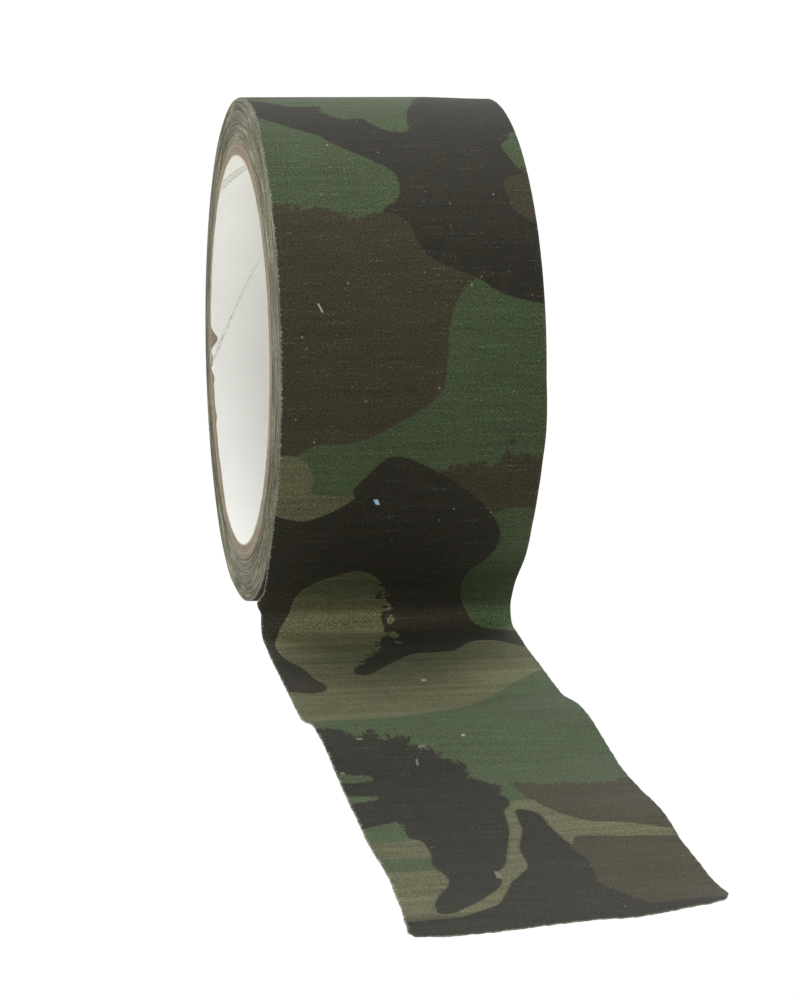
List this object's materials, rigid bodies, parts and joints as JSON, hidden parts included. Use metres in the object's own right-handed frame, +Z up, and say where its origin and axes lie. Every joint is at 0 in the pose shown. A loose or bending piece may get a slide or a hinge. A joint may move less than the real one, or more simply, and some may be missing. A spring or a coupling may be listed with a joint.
{
  "type": "duct tape roll",
  "caption": "Roll of camouflage-printed cloth duct tape on a kraft board core, standing on its edge with its free end pulled out along the ground.",
  "frame": {"origin": "on the ground under the middle of the bounding box of the roll and its free end", "axes": "+X along the roll's axis, -Y the way the free end runs, +Z up from the ground"},
  "size_m": [0.05, 0.2308, 0.0994],
  "materials": {
    "liner_paper": "matt white paper with helical lap seams",
    "kraft_board": "matt kraft board, edge on",
    "wound_tape": "film-coated cloth with a woodland camouflage print, wound on itself",
    "printed_cloth": "satin film over an open cloth weave, with a woodland camouflage print",
    "adhesive": "tacky, matt"
  },
  "bodies": {
    "roll": {"core_liner": "liner_paper", "core_ply_1": "kraft_board", "core_ply_2": "kraft_board", "core_ply_3": "kraft_board", "core_ply_4": "kraft_board", "wound_tape": "wound_tape"},
    "tail_root": {"tail_root_adhesive": "adhesive", "tail_root_backing": "printed_cloth"},
    "tail_run": {"tail_run_adhesive": "adhesive", "tail_run_backing": "printed_cloth"},
    "tail_fold": {"tail_fold_adhesive": "adhesive", "tail_fold_backing": "printed_cloth"},
    "tail_end": {"tail_end_adhesive": "adhesive", "tail_end_backing": "printed_cloth"}
  },
  "joints": [
    {"name": "unwind", "type": "hinge", "parent": "roll", "child": "tail_root", "pos_m": [0, 0.06565, 0.0497], "axis": [-1, 0, 0], "continuous": true},
    {"name": "lift", "type": "hinge", "parent": "tail_root", "child": "tail_run", "pos_m": [0, 0.03065, 0.00012], "axis": [-1, 0, 0], "range_deg": [-35, 60]},
    {"name": "crease", "type": "hinge", "parent": "tail_run", "child": "tail_fold", "pos_m": [0, -0.02435, 0.00012], "axis": [-1, 0, 0], "range_deg": [-50, 50]},
    {"name": "end_bend", "type": "hinge", "parent": "tail_fold", "child": "tail_end", "pos_m": [0, -0.06935, 0.00012], "axis": [-1, 0, 0], "range_deg": [-50, 50]}
  ]
}
